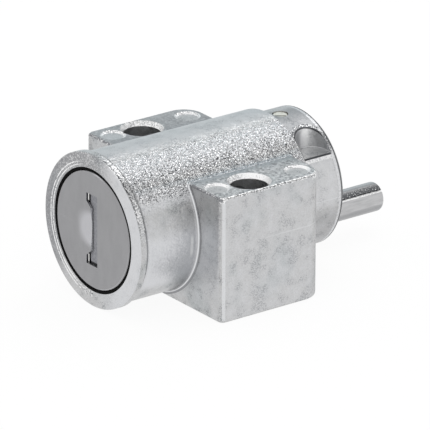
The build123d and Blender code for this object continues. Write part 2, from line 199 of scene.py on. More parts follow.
@dataclass
class Painter:
    """Paints one material: keeps what its masks go by, and lays tones through them."""

    tree: Tree
    measures: dict[By, Socket] = field(default_factory=dict)
    made: dict[Masks, Socket] = field(default_factory=dict)
    here: Socket = field(init=False)
    facing: Socket = field(init=False)

    def __post_init__(self) -> None:
        """Measures the place in millimetres and the way that the surface faces."""
        source = add_node(self.tree, "ShaderNodeTexCoord").outputs
        self.facing = source["Normal"]
        links, values = {0: source["Object"]}, {"Scale": 1 / MM}
        self.here = self.add("ShaderNodeVectorMath", links, values, operation="SCALE")
        self.split(self.here, By.X, By.Y, By.Z)
        self.split(self.facing, By.FACING_X, By.FACING_Y)

    def add(self, kind: str, *inputs: Inputs, **options: Any) -> Socket:
        """Adds a node to this material as add_node does, and gives its first output."""
        return add_node(self.tree, kind, *inputs, **options).outputs[0]

    def split(self, vector: Socket, *names: By) -> None:
        """Keeps the first parts of a vector as the measures that the names give."""
        parts = add_node(self.tree, "ShaderNodeSeparateXYZ", {0: vector})
        self.measures.update(zip(names, parts.outputs))

    def reckon(self, value: Socket, *steps: tuple[str, float]) -> Socket:
        """Puts a value through sums, one after another.

        Args:
            value: What the first sum starts from.
            steps: The operation of each sum and its second number.

        Returns:
            The last result.
        """
        for operation, number in steps:
            value = self.add("ShaderNodeMath", {0: value}, {1: number}, operation=operation)
        return value

    def distance(self, first: Socket, second: Socket) -> Socket:
        """Works out how far two distances at right angles reach together.

        Args:
            first: One distance.
            second: The other.

        Returns:
            The length of their diagonal.
        """
        flat = self.add("ShaderNodeCombineXYZ", {"X": first, "Y": second})
        node = add_node(self.tree, "ShaderNodeVectorMath", {0: flat}, operation="LENGTH")
        return node.outputs["Value"]

    def circle(self, height: float) -> None:
        """Measures the distance from a line along Y, and the angle round it.

        Args:
            height: How high the line lies.
        """
        across = self.measures[By.X]
        up = self.reckon(self.measures[By.Z], ("SUBTRACT", height))
        turn = self.add("ShaderNodeMath", {0: across, 1: up}, operation="ARCTAN2")
        self.measures[By.RADIUS] = self.distance(across, up)
        self.measures[By.ANGLE] = self.reckon(turn, ("DEGREES", 0.0))

    def keep_pattern(self, name: By, size: Triple, detail: float = 2.0) -> None:
        """Keeps a soft random pattern as a measure.

        Args:
            name: The measure that it becomes.
            size: The width of its blotches along each axis.
            detail: How many finer layers it has.
        """
        place = self.add("ShaderNodeVectorMath", {0: self.here}, {1: size}, operation="DIVIDE")
        values = {"Scale": 1.0, "Detail": detail, "Roughness": 0.6}
        self.measures[name] = self.add("ShaderNodeTexNoise", {"Vector": place}, values)

    def opening(self, mask: Ramp | Outside) -> Socket:
        """Works out how far a mask is open.

        Args:
            mask: The mask.

        Returns:
            The share, from 0 to the mask's top.
        """
        if isinstance(mask, Outside):
            shut = self.share(mask.masks)
            return self.add("ShaderNodeMath", {1: shut}, {0: 1.0}, operation="SUBTRACT")
        return self.add(
            "ShaderNodeMapRange",
            {"Value": self.measures[mask.by]},
            {"From Min": mask.start, "From Max": mask.end, "To Max": mask.top},
            interpolation_type="SMOOTHSTEP",
        )

    def share(self, masks: Masks) -> Socket:
        """Multiplies masks, and keeps each product for the next layer that starts with it.

        Args:
            masks: The masks.

        Returns:
            How far all of them together are open.
        """
        if masks not in self.made:
            *others, last = masks
            if others:
                links = {0: self.share(tuple(others)), 1: self.share((last,))}
                self.made[masks] = self.add("ShaderNodeMath", links, operation="MULTIPLY")
            else:
                self.made[masks] = self.opening(last)
        return self.made[masks]

    def paint(self, colour: str, layers: list[Layer]) -> Socket:
        """Lays tones over a plain colour, one after another.

        Args:
            colour: The plain colour.
            layers: The tones with their masks.

        Returns:
            The final colour.
        """
        base = self.add("ShaderNodeRGB")
        base.default_value = linear(colour)
        for tone, masks in layers:
            links = {0: self.share(masks), 6: base}
            mix = add_node(self.tree, "ShaderNodeMix", links, {7: linear(tone)}, data_type="RGBA")
            base = mix.outputs[2]
        return base


@dataclass(frozen=True)
class Finish:
    """A metal or rubber finish: its name, plain colour and how it takes the light."""

    name: str
    colour: str
    roughness: float
    metallic: float = 1.0
    specular: float = 0.5

    def material(self) -> Material:
        """Makes the finish's material: its shader, paint and relief.

        Returns:
            The finished material.
        """
        material = blank_material(self.name)
        tree = material.node_tree
        values = {
            "Metallic": self.metallic,
            "Roughness": self.roughness,
            "Specular IOR Level": self.specular,
        }
        shader = add_node(tree, "ShaderNodeBsdfPrincipled", values=values)
        add_node(tree, "ShaderNodeOutputMaterial", {"Surface": shader.outputs["BSDF"]})
        painter = Painter(tree)
        self.measure(painter)
        tree.links.new(painter.paint(self.colour, self.layers()), shader.inputs["Base Color"])
        self.emboss(painter, shader)
        return material

    def measure(self, painter: Painter) -> None:
        """Gives the painter what this finish's masks go by."""
        raise NotImplementedError

    def layers(self) -> list[Layer]:
        """Gives the finish's layers of paint."""
        raise NotImplementedError

    def emboss(self, painter: Painter, shader: Node) -> None:
        """Gives the surface its relief."""
        raise NotImplementedError


@dataclass(frozen=True)
class CastZinc(Finish):
    """Die-cast zinc alloy, bright as it leaves the die and the trimming drum.

    The die's eroded skin leaves small facets on the body's upper right, a cloudy smoother skin
    elsewhere, and ragged bright edges round the lugs' tops, partly worn and partly painted
    highlight. The facets' sparkle on the flank is painted as glints and dark specks by angle, and
    much of the light and shade on the faces, rim, collar and pocket is painted too. Sizes are in
    millimetres, and angles in degrees.
    """

    # Pale tone: random mottling, and painted light on the body's strips, the lugs' sides and fronts, the
    # rim's right, the collar and the pocket's wall.
    light: str = "#dcdde0"
    # Dark tone: darker grains and flecks, and painted shade beside the block's root and corners, on the
    # far lug's top, on the rim's left and round the collar.
    dark: str = "#7e7f83"
    cool: str = "#9dabb3"
    stain: str = "#a6adac"
    # Near-white tone: edges worn bright, and painted glints and highlights on the body's flank, the lugs'
    # tops and edges, the hole mouths, the rim and the pocket.
    wear_and_highlight: str = "#fbfbfb"
    # Soft pale tone: the parting line, the root line, the trimmed rear edge and flecks on the rim, and the
    # painted highlight on the block's front corner.
    soft: str = "#dfe0e2"
    # Near-black tone: torn and ragged edges and flecks, painted dark specks low on the body's flank, and
    # painted shadow along the pocket's sill and outline.
    torn_and_shadow: str = "#4a4b4e"
    # The real grains are too fine to show in the render, so the facets are drawn this wide.
    facet_size: float = 0.1
    # Each soft random pattern: the width of its blotches, and how many finer layers it has.
    patterns: tuple[tuple[By, float, float], ...] = (
        (By.CLOUDS, 7.0, 2.0),
        (By.STAINS, 3.6, 2.0),
        (By.MOTTLE, 1.8, 3.0),
        (By.WAVES, 0.6, 2.0),
        (By.GRIT, 0.4, 2.0),
        (By.FLECKS, 0.2, 2.0),
    )
    wave_height: float = 0.03
    facet_tilt: float = 0.5
    skin_tilt: float = 0.1
    grainy_roughness: float = 0.2
    body: Span = (-14.6, 11.5)
    body_radius: float = 10.2
    # The angle that the body's flanks are measured from, to either side.
    crest: float = -13.0
    # Each painted highlight strip along the body: the angles where it starts and ends, its soft ends and
    # share.
    sheen: tuple[tuple[float, float, float, float], ...] = (
        (88.0, 120.0, 14.0, 0.8),
        (20.0, 34.0, 8.0, 0.9),
        (50.0, 58.0, 6.0, 0.6),
        (-13.0, 6.0, 8.0, 0.3),
    )
    # Where the flank's facets lie: the angles where each part starts and ends, and its soft ends.
    # The upper and lower parts get painted glints and dark specks; the grainy part gets the tilt and
    # roughness.
    upper_flank: Triple = (18.0, 36.0, 26.0)
    lower_flank: Triple = (37.0, 48.0, 22.0)
    grainy_flank: Triple = (26.0, 44.0, 28.0)
    block_front: float = -6.8
    block_rear: float = 10.0
    lug_top: float = 17.3
    lug_side: float = 14.9
    root_x: float = 7.5
    parting: Span = (10.38, 10.46)
    rim_front: float = -16.3
    rim_edge: float = -15.35
    bevel_half_gap: float = 0.2
    bevel_lines: Span = (8.7, 9.3)
    collar_radius: float = 9.35
    collar_end: float = 17.5
    pocket_x: float = 6.2
    pocket_y: float = 14.4
    pocket_radius: float = 2.2
    pocket_floor: float = 16.07

    def measure(self, painter: Painter) -> None:
        """Gives the painter the places, angles, facings and patterns of the casting.

        Args:
            painter: What paints the casting.
        """
        measures = painter.measures
        painter.circle(AXIS_HEIGHT)
        measures[By.SIDE] = painter.reckon(measures[By.X], ("ABSOLUTE", 0.0))
        measures[By.FLANK] = painter.reckon(
            measures[By.ANGLE], ("SUBTRACT", self.crest), ("ABSOLUTE", 0.0), ("ADD", self.crest)
        )
        measures[By.BEVEL] = painter.reckon(measures[By.RADIUS], ("PINGPONG", self.bevel_half_gap))
        sizes = painter.add("ShaderNodeVectorMath", {0: painter.facing}, operation="ABSOLUTE")
        painter.split(sizes, By.LEAN_X, By.LEAN_Y, By.LEAN_Z)
        most = measures[By.LEAN_X]
        for lean in (By.LEAN_Y, By.LEAN_Z):
            most = painter.add("ShaderNodeMath", {0: most, 1: measures[lean]}, operation="MAXIMUM")
        measures[By.SQUARE] = most
        measures[By.POCKET] = painter.distance(
            painter.reckon(measures[By.X], ("SUBTRACT", self.pocket_x), ("MINIMUM", 0.0)),
            painter.reckon(measures[By.Y], ("SUBTRACT", self.pocket_y)),
        )
        for name, size, detail in self.patterns:
            painter.keep_pattern(name, (size, size, size), detail)
        self.measure_facets(painter)

    def measure_facets(self, painter: Painter) -> None:
        """Gives the painter the facets' random values, and how much they count on the flank.

        Args:
            painter: What paints the casting.
        """
        measures = painter.measures
        links, values = {"Vector": painter.here}, {"Scale": 1 / self.facet_size}
        cells = add_node(painter.tree, "ShaderNodeTexVoronoi", links, values)
        measures[By.FACET] = cells.outputs["Color"]
        painter.split(measures[By.FACET], By.FACET_DARK, By.FACET_BRIGHT, By.FACET_DULL)
        for name, part, flank in (
            (By.GLINT, By.FACET_BRIGHT, self.upper_flank),
            (By.SPARK, By.FACET_BRIGHT, self.lower_flank),
            (By.SPECK, By.FACET_DARK, self.upper_flank),
            (By.LOW_DARK_FACET, By.FACET_DARK, self.lower_flank),
        ):
            links = {0: painter.share(strip(By.FLANK, *flank)), 1: measures[part]}
            measures[name] = painter.add("ShaderNodeMath", links, operation="MULTIPLY")

    def layers(self) -> list[Layer]:
        """Gives the casting's paint, from its skin to its ragged dark lines, with painted light and shade
        among it.

        Returns:
            The layers.
        """
        return [
            *self.skin(),
            *self.sparkle(),
            *self.block_faces(),
            *self.block_roots(),
            *self.block_edges(),
            *self.rim_wear_and_shading(),
            *self.collar_wear_and_shading(),
        ]

    def on_body(self) -> Masks:
        """Gives the masks that leave only the round body open."""
        outer = Ramp(By.RADIUS, self.body_radius + 0.3, self.body_radius + 0.05)
        return *strip(By.Y, *self.body, 0.5), outer

    def skin(self) -> list[Layer]:
        """Gives the cloudy skin, with clusters of darker grains.

        Returns:
            The layers.
        """
        return [
            (self.cool, (Ramp(By.CLOUDS, 0.45, 0.75, 0.25),)),
            (self.stain, (Ramp(By.STAINS, 0.5, 0.64, 0.25),)),
            (self.light, (Ramp(By.MOTTLE, 0.5, 0.3, 0.3),)),
            (self.dark, (Ramp(By.FACET_DULL, 0.3, 0.2, 0.2),)),
            (self.light, (Ramp(By.FACET_BRIGHT, 0.7, 0.8, 0.3),)),
            (self.dark, (Ramp(By.FACET_DARK, 0.36, 0.3), Ramp(By.MOTTLE, 0.5, 0.62, 0.75))),
        ]

    def sparkle(self) -> list[Layer]:
        """Gives the body's painted highlight strips and its facets' painted glints: bright ones near the
        top, dark ones lower down.

        Returns:
            The layers, last of them a short painted highlight streak just before the block.
        """
        body = self.on_body()
        streak = (
            *body,
            *strip(By.Y, self.block_front - 1.2, self.block_front - 1.0, 0.2),
            *strip(By.FLANK, 90.0, 100.0, 6.0, 0.8),
        )
        return [
            # Painted highlight strips along the body, then the facets' painted glints and dark specks.
            *[(self.light, (*body, *strip(By.FLANK, *edges))) for edges in self.sheen],
            (self.wear_and_highlight, (*body, Ramp(By.GLINT, 0.54, 0.6, 0.7))),
            (self.wear_and_highlight, (*body, Ramp(By.SPARK, 0.64, 0.7, 0.75))),
            (self.dark, (*body, Ramp(By.SPECK, 0.76, 0.8, 0.7))),
            (self.torn_and_shadow, (*body, Ramp(By.LOW_DARK_FACET, 0.6, 0.67, 0.8))),
            # A short painted highlight streak just before the block.
            (self.wear_and_highlight, streak),
        ]

    def off_body(self) -> Ramp:
        """Gives the mask that shuts the round body, and leaves the block beyond it open."""
        return Ramp(By.RADIUS, self.body_radius + 0.4, self.body_radius + 0.55)

    def nearer(self) -> Ramp:
        """Gives the mask that is more open on the lug towards +X than on the other."""
        return Ramp(By.X, -28.0, 8.0)

    def block_faces(self) -> list[Layer]:
        """Gives the block's faces their painted light and shade, a bluish band beside the root, the grit
        on the lugs' tops with painted glints, stronger on the near lug, and the parting line.

        Returns:
            The layers.
        """
        beyond, facing_up = self.off_body(), Ramp(By.LEAN_Z, 0.6, 0.9)
        top, root = self.lug_top, self.root_x
        level = (
            self.nearer(),
            *strip(By.Z, top - 0.05, top + 0.05, 0.1),
            Ramp(By.SIDE, root, root + 1.6),
            facing_up,
        )
        beside_root = (
            Ramp(By.SIDE, root + 3.0, root, 0.5),
            *strip(By.Z, top - 0.05, top + 0.4, 0.1),
            facing_up,
        )
        front = (beyond, Ramp(By.LEAN_Y, 0.9, 0.98), *strip(By.Z, 6.0, 11.0, 5.0, 0.45))
        parting = (*strip(By.Z, *self.parting, 0.08, 0.45), Ramp(By.Y, -2.0, 4.0), Ramp(By.SIDE, 8.0, 9.0))
        return [
            (self.cool, beside_root),
            # Painted light on the lugs' sides and fronts, and painted shade on the far lug's top.
            (self.light, (beyond, Ramp(By.LEAN_X, 0.9, 0.98, 0.25))),
            (self.light, front),
            (self.dark, (*level, Ramp(By.X, -7.0, -9.0))),
            (self.wear_and_highlight, (*level, Ramp(By.GRIT, 0.56, 0.62, 0.45))),
            (self.dark, (*level, Ramp(By.GRIT, 0.46, 0.38, 0.8))),
            (self.soft, parting),
        ]

    def block_roots(self) -> list[Layer]:
        """Gives the painted shade beside the root where the block leaves the body, a bright line along
        that root, and the painted shade at its rear corner.

        Returns:
            The layers.
        """
        radius = self.body_radius
        beside = strip(By.Y, self.block_front - 0.8, self.block_rear + 0.6, 0.1)
        upright = (*beside, Ramp(By.LEAN_Z, 0.85, 0.6))
        rear_corner = (
            self.off_body(),
            Ramp(By.SQUARE, 0.97, 0.8, 0.25),
            Ramp(By.Z, self.lug_top - 0.8, self.lug_top - 1.8),
            Ramp(By.Y, self.block_rear - 1.6, self.block_rear - 1.2),
        )
        return [
            # Painted shade beside the root, then at the rear corner.
            (self.dark, (*upright, *strip(By.RADIUS, radius + 0.16, radius + 0.4, 0.04, 0.75))),
            (self.dark, (*upright, *strip(By.RADIUS, radius - 0.06, radius, 0.04, 0.4))),
            (self.dark, rear_corner),
            (self.soft, (*beside, *strip(By.RADIUS, radius + 0.03, radius + 0.12, 0.03))),
        ]

    def block_edges(self) -> list[Layer]:
        """Gives the painted shade and highlight at the block's front corner, the ragged edges of its lugs,
        worn bright and painted as highlight, and the hole mouths, with a painted highlight on their far
        walls.

        Returns:
            The layers.
        """
        front, rear, side, top = self.block_front, self.block_rear, self.lug_side, self.lug_top
        corner = (self.off_body(), Ramp(By.LEAN_Z, 0.3, 0.1), Ramp(By.Y, front + 1.4, front + 1.0))
        shaded = (
            *corner,
            Ramp(By.SIDE, side - 1.6, side - 0.6, 0.5),
            Ramp(By.LEAN_X, 0.7, 0.5),
            Ramp(By.FLECKS, 0.6, 0.4),
            Ramp(By.Z, 2.0, top - 2.0),
        )
        bright = (*corner, *strip(By.LEAN_X, 0.75, 0.94, 0.05), Ramp(By.FLECKS, 0.1, 0.5, 0.9))
        slope = (self.off_body(), Ramp(By.SQUARE, 0.985, 0.9))
        upper = (*slope, Ramp(By.Z, top - 0.8, top - 0.6))
        within = (Ramp(By.SIDE, side - 0.5, side - 0.7), *strip(By.Y, front + 0.6, rear - 0.8, 0.2))
        lip = (*slope, Ramp(By.Z, top - 0.9, top - 0.3), Ramp(By.Y, front + 0.5, front + 0.2))
        mouths = (*upper, *within, self.nearer())
        lit_mouths = (*mouths, Ramp(By.FACING_Y, 0.05, -0.5))
        return [
            # Painted shade and highlight at the front corner, then the ragged edges, and the mouths'
            # painted highlight.
            (self.dark, shaded),
            (self.soft, bright),
            (self.wear_and_highlight, (*upper, Ramp(By.FLECKS, 0.48, 0.56))),
            (self.torn_and_shadow, (*upper, Outside(within), Ramp(By.FLECKS, 0.44, 0.36, 0.8))),
            (self.dark, (*lip, Ramp(By.FLECKS, 0.66, 0.56, 0.9))),
            (self.wear_and_highlight, (*mouths, Ramp(By.FLECKS, 0.44, 0.56, 0.4))),
            (self.wear_and_highlight, (*lit_mouths, Ramp(By.FLECKS, 0.2, 0.5))),
        ]

    def rim_wear_and_shading(self) -> list[Layer]:
        """Gives the rim's painted shade on its left and painted light on its right, flecks on its front,
        bright bevel lines painted as highlight, and ragged dark lines along its edges.

        Returns:
            The layers.
        """
        inner, outer = self.bevel_lines
        front = Ramp(By.Y, self.rim_front + 0.1, self.rim_front - 0.05)
        grain = (front, *strip(By.ANGLE, -110.0, -60.0, 30.0))
        crown = (front, *strip(By.ANGLE, -36.0, 4.0, 24.0))
        lines = (
            Ramp(By.BEVEL, 0.1, 0.05),
            *strip(By.RADIUS, inner, outer, 0.02),
            front,
            Ramp(By.X, -1.0, -5.0),
            Ramp(By.FLECKS, 0.34, 0.46),
        )
        ragged = (
            front,
            *strip(By.RADIUS, inner - 0.2, outer - 0.1, 0.1),
            *strip(By.ANGLE, -179.0, -164.0, 6.0),
        )
        arc = (*strip(By.ANGLE, 14.0, 95.0, 18.0), Ramp(By.ANGLE, 96.0, 42.0))
        bevel = (*arc, *strip(By.Y, self.rim_front + 0.1, self.rim_edge + 0.3, 0.1))
        edges = [
            (*arc, *strip(By.Y, middle - 0.08, middle + 0.08, 0.08), Ramp(By.FLECKS, 0.6, 0.52))
            for middle in (self.rim_front + 0.15, self.rim_edge)
        ]
        return [
            # Painted shade on the left of the rim's front, and painted light on its right.
            (self.dark, (front, Ramp(By.X, -4.5, -9.4, 0.6))),
            (self.light, (front, Ramp(By.X, 0.0, 7.0, 0.7))),
            (self.dark, (*grain, Ramp(By.FLECKS, 0.54, 0.42, 0.3))),
            (self.light, (*grain, Ramp(By.FLECKS, 0.54, 0.62, 0.3))),
            (self.dark, (*crown, Ramp(By.FLECKS, 0.64, 0.42, 0.7))),
            (self.soft, (*crown, Ramp(By.FLECKS, 0.56, 0.62, 0.5))),
            # Bright bevel lines on the left, painted as highlight.
            (self.wear_and_highlight, lines),
            (self.wear_and_highlight, (*ragged, Ramp(By.FLECKS, 0.5, 0.58, 0.5))),
            (self.torn_and_shadow, (*ragged, Ramp(By.FLECKS, 0.5, 0.42, 0.5))),
            (self.wear_and_highlight, (*bevel, Ramp(By.FLECKS, 0.5, 0.58, 0.9))),
            (self.dark, (*bevel, Ramp(By.FLECKS, 0.46, 0.4, 0.8))),
            *[(self.torn_and_shadow, edge) for edge in edges],
        ]

    def collar_wear_and_shading(self) -> list[Layer]:
        """Gives the collar's painted shade and light round its turn, its trimmed rear edge, and the
        pocket's painted light and shade with its ragged beads.

        Returns:
            The layers.
        """
        radius, last = self.collar_radius, self.collar_end - 0.4
        turned = (
            *strip(By.Y, self.pocket_y - 4.0, self.collar_end, 0.1),
            *strip(By.RADIUS, radius - 0.1, radius + 0.1, 0.1),
        )
        trimmed = Ramp(By.RADIUS, radius - 0.45, radius - 0.3)
        trim = (trimmed, *strip(By.Y, last - 0.5, last - 0.25, 0.1), Ramp(By.FLECKS, 0.35, 0.5, 0.8))
        burr = (trimmed, Ramp(By.Y, last - 0.2, last - 0.1, 0.9), *strip(By.ANGLE, -20.0, 150.0, 20.0))
        return [
            # Painted shade and light round the collar's turn.
            (self.dark, (*turned, *strip(By.ANGLE, 0.0, 30.0, 14.0, 0.5))),
            (self.light, (*turned, *strip(By.ANGLE, 50.0, 92.0, 8.0, 0.4))),
            (self.dark, (*turned, *strip(By.ANGLE, 108.0, 150.0, 16.0, 0.3))),
            *self.pocket_shading_and_beads(turned),
            (self.soft, trim),
            (self.torn_and_shadow, burr),
        ]

    def pocket_shading_and_beads(self, turned: Masks) -> list[Layer]:
        """Gives the pocket's painted light on its wall and foot, a painted highlight on the ledge below
        it, painted shadow along its sill and round its outline, and ragged beads round its upper edge.

        Args:
            turned: The masks that leave only the collar's round skin open.

        Returns:
            The layers.
        """
        edge, floor, radius = self.pocket_radius, self.pocket_floor, self.collar_radius
        right = Ramp(By.X, 2.6, 3.4)
        skin = (*turned, right)
        upper = (*skin, Ramp(By.Z, floor - 0.1, floor))
        hollow = (
            right,
            Ramp(By.POCKET, edge + 0.06, edge + 0.02),
            Ramp(By.RADIUS, radius - 0.02, radius - 0.1),
        )
        wall = (*hollow, Ramp(By.Z, floor + 0.1, floor + 0.3))
        ledge = (
            *skin,
            Ramp(By.POCKET, edge + 0.5, edge),
            *strip(By.Z, floor - 0.5, floor - 0.2, 0.12, 0.75),
            Ramp(By.FLECKS, 0.4, 0.56),
        )
        sill = (*skin, Ramp(By.POCKET, edge + 0.1, edge), *strip(By.Z, floor - 0.12, floor + 0.02, 0.05))
        beads = (*upper, *strip(By.POCKET, edge + 0.1, edge + 0.5, 0.2))
        return [
            # Painted light and highlight on the wall and foot, a painted highlight on the ledge, and
            # painted shadow along the sill.
            (self.light, (*wall, Ramp(By.Y, 17.0, 12.0, 0.7))),
            (self.wear_and_highlight, (*wall, *strip(By.Y, 14.5, 15.0, 0.7, 0.7))),
            (self.wear_and_highlight, (*hollow, *strip(By.Z, floor + 0.05, floor + 0.15, 0.03, 0.8))),
            (self.wear_and_highlight, ledge),
            (self.torn_and_shadow, sill),
            (self.wear_and_highlight, (*beads, Ramp(By.FLECKS, 0.55, 0.6, 0.9))),
            (self.torn_and_shadow, (*beads, Ramp(By.FLECKS, 0.5, 0.45, 0.9))),
            # Painted shadow round the pocket's outline.
            (self.torn_and_shadow, (*upper, *strip(By.POCKET, edge - 0.02, edge + 0.12, 0.06, 0.9))),
        ]

    def emboss(self, painter: Painter, shader: Node) -> None:
        """Tilts the surface by a random amount in each facet, most of all on the body's lit flank.

        Args:
            painter: What paints the casting.
            shader: The material's main shader, which gets the facing and the roughness.
        """
        grainy = painter.share((*self.on_body(), *strip(By.FLANK, *self.grainy_flank)))
        rough, tilt = (
            painter.add("ShaderNodeMapRange", {"Value": grainy}, {"To Min": low, "To Max": high})
            for low, high in (
                (self.roughness, self.grainy_roughness),
                (2 * self.skin_tilt, 2 * self.facet_tilt),
            )
        )
        waves = painter.add(
            "ShaderNodeBump",
            {"Height": painter.measures[By.WAVES]},
            {"Strength": 1.0, "Distance": self.wave_height * MM},
        )
        random, middle = painter.measures[By.FACET], (0.5, 0.5, 0.5)
        centred = painter.add("ShaderNodeVectorMath", {0: random}, {1: middle}, operation="SUBTRACT")
        turned = painter.add("ShaderNodeVectorMath", {0: centred, "Scale": tilt}, operation="SCALE")
        summed = painter.add("ShaderNodeVectorMath", {0: waves, 1: turned}, operation="ADD")
        facing = painter.add("ShaderNodeVectorMath", {0: summed}, operation="NORMALIZE")
        painter.tree.links.new(rough, shader.inputs["Roughness"])
        painter.tree.links.new(facing, shader.inputs["Normal"])


@dataclass(frozen=True)
class FineMetal(Finish):
    """A worked metal with a fine, even skin: satin sheet, turned brass, plating or drawn wire.

    A faint streak pattern runs along one axis, as rolling, turning or drawing leaves it. Sizes
    are in millimetres. Real streaks are too fine to show in the render, so they are drawn coarser.
    """

    shade: str = "#808080"
    streak_size: Triple = (0.3, 0.3, 0.3)
    streak_edge: Span = (0.35, 0.7)
    streak_share: float = 0.3
    streak_height: float = 0.002

    def measure(self, painter: Painter) -> None:
        """Gives the painter the streak pattern."""
        painter.keep_pattern(By.STREAKS, self.streak_size, 3.0)

    def layers(self) -> list[Layer]:
        """Gives the streaks, with the piece's own marks over them."""
        streaks = Ramp(By.STREAKS, *self.streak_edge, self.streak_share)
        return [(self.shade, (streaks,)), *self.marks()]

    def marks(self) -> list[Layer]:
        """Gives the layers of the piece's own marks, of which a plain metal has none."""
        return []

    def emboss(self, painter: Painter, shader: Node) -> None:
        """Raises the streaks from the surface.

        Args:
            painter: What paints the metal.
            shader: The material's main shader, which gets the facing.
        """
        bump = painter.add(
            "ShaderNodeBump",
            {"Height": painter.measures[By.STREAKS]},
            {"Strength": 1.0, "Distance": self.streak_height * MM},
        )
        painter.tree.links.new(bump, shader.inputs["Normal"])


@dataclass(frozen=True)
class SeamedCasting(FineMetal):
    """The driver's finer casting, with the ragged seam that trimming leaves along its drive pin, a painted
    highlight along that seam and painted shade under the pin.
    """

    torn_and_shadow: str = "#4a4b4d"
    # Painted highlight along the seam's edge and in its rough part.
    painted_highlight: str = "#ffffff"
    fleck_size: Triple = (0.16, 0.2, 0.16)
    pin_height: float = AXIS_HEIGHT - 6.04
    pin_radius: float = 2.0
    seam: Span = (-8.0, 47.0)
    line: Span = (48.5, 54.0)
    underside: Span = (116.0, 180.0)

    def measure(self, painter: Painter) -> None:
        """Gives the painter the streaks, the flecks and the angle round the drive pin.

        Args:
            painter: What paints the casting.
        """
        super().measure(painter)
        painter.keep_pattern(By.FLECKS, self.fleck_size)
        painter.circle(self.pin_height)

    def marks(self) -> list[Layer]:
        """Gives the seam's dark flecked band with painted bright flecks in it, the painted highlight along
        its edge, and the painted shade on the pin's underside.

        Returns:
            The layers.
        """
        first, last = self.seam
        side = strip(By.RADIUS, self.pin_radius - 0.2, self.pin_radius + 0.1, 0.1)
        above = (*side, Ramp(By.ANGLE, last + 2.0, last - 1.0))
        rough = (*above, Ramp(By.ANGLE, last - 40.0, last - 18.0))
        return [
            (self.torn_and_shadow, (*above, Ramp(By.ANGLE, first, last - 14.0))),
            (self.painted_highlight, (*rough, Ramp(By.FLECKS, 0.62, 0.7, 0.7))),
            (self.torn_and_shadow, (*rough, Ramp(By.FLECKS, 0.5, 0.44))),
            # Painted highlight along the seam's edge, and painted shade on the underside.
            (self.painted_highlight, (*side, *strip(By.ANGLE, *self.line, 1.5), Ramp(By.FLECKS, 0.3, 0.5))),
            (self.shade, (*side, *strip(By.ANGLE, *self.underside, 16.0, 0.8))),
        ]


@dataclass(frozen=True)
class DishedSheet(FineMetal):
    """Satin sheet that the press has dished, with a painted highlight where the dish leans most.

    The keyway's cut lip has painted light on it, near white.
    """

    # Painted highlight on the dish's slope.
    painted_highlight: str = "#c6c6ca"
    # Painted light on the keyway's cut lip.
    painted_lip_light: str = "#fbfbfc"
    lean: Span = (0.072, 0.13)
    lip_x: Span = (-2.4, 0.6)
    lip_z: Span = (AXIS_HEIGHT - 3.0, AXIS_HEIGHT + 3.0)

    def marks(self) -> list[Layer]:
        """Gives the painted highlight on the dish's slope and the painted light on the cut lip.

        Returns:
            The layers.
        """
        lip = (
            Ramp(By.FACING_X, 0.5, 0.8),
            *strip(By.X, *self.lip_x, 0.1),
            *strip(By.Z, *self.lip_z, 0.4),
        )
        return [(self.painted_highlight, strip(By.FACING_X, *self.lean, 0.07, 0.8)), (self.painted_lip_light, lip)]


@dataclass(frozen=True)
class FootShadedSheet(FineMetal):
    """Unfaced sheet behind the keyway, with painted shadow along its foot."""

    # Painted shadow along the sheet's foot.
    painted_shade: str = "#1c1c1e"
    foot: float = AXIS_HEIGHT - 4.67

    def marks(self) -> list[Layer]:
        """Gives the painted shadow along the bottom."""
        return [(self.painted_shade, (Ramp(By.Z, self.foot + 0.08, self.foot, 0.9),))]


@dataclass(frozen=True)
class KeyedBrass(FineMetal):
    """Plated brass, near white so that its chamfer shows as a white glint in the keyway, with painted
    shade on the upright walls of its slot.
    """

    # Painted shade on the slot's upright walls.
    painted_shade: str = "#202021"
    slot: Span = (-1.32, 2.0)

    def marks(self) -> list[Layer]:
        """Gives the painted shade on the slot's upright walls."""
        return [(self.painted_shade, (Ramp(By.FACING_X, 0.5, 0.6), *strip(By.X, *self.slot, 0.02)))]


@dataclass(frozen=True)
class PressedPin(FineMetal):
    """A pin that is pressed home, with a thin painted shadow at one side of its head, where the gap round
    it lies.
    """

    # Painted shadow in the gap at one side of the head.
    nick: str = "#4c4942"
    middle: Triple = (0.0, 13.9, 0.0)
    shaded_side: Triple = (0.8, -0.6, 0.0)
    line: Span = (0.4, 0.66)

    def measure(self, painter: Painter) -> None:
        """Gives the painter the streaks, and how far a place lies towards the shaded side of the head.

        Args:
            painter: What paints the pin.
        """
        super().measure(painter)
        links, values = {0: painter.here}, {1: self.middle}
        off = painter.add("ShaderNodeVectorMath", links, values, operation="SUBTRACT")
        links, values = {0: off}, {1: self.shaded_side}
        toward = add_node(painter.tree, "ShaderNodeVectorMath", links, values, operation="DOT_PRODUCT")
        painter.measures[By.TOWARD_SHADED_GAP] = toward.outputs["Value"]

    def marks(self) -> list[Layer]:
        """Gives the painted shadow at one side of the head."""
        return [(self.nick, strip(By.TOWARD_SHADED_GAP, *self.line, 0.04))]


# Zinc alloy straight from the die: silver grey, half gloss, with a sparkle where it is coarse, partly
# painted as glints and dark specks.
ZINC_CASTING = CastZinc(name="die_cast_zinc", colour="#c4c4c4", roughness=0.36)
# The same alloy in a finer die: smoother, with drawn streaks along the pin.
DRIVER_CASTING = SeamedCasting(
    name="die_cast_zinc_fine", colour="#c2c2c3", roughness=0.3, shade="#9a9b9d",
    streak_size=(0.35, 3.0, 0.35), streak_share=0.5, streak_height=0.01,
)
# Stainless sheet with a satin face: an even mid grey with almost no grain, with a painted highlight in its
# dish.
SATIN_STAINLESS = DishedSheet(
    name="satin_stainless_sheet", colour="#9d9d9f", roughness=0.34, shade="#939395",
    streak_size=(1.5, 1.5, 4.0), streak_share=0.5,
)
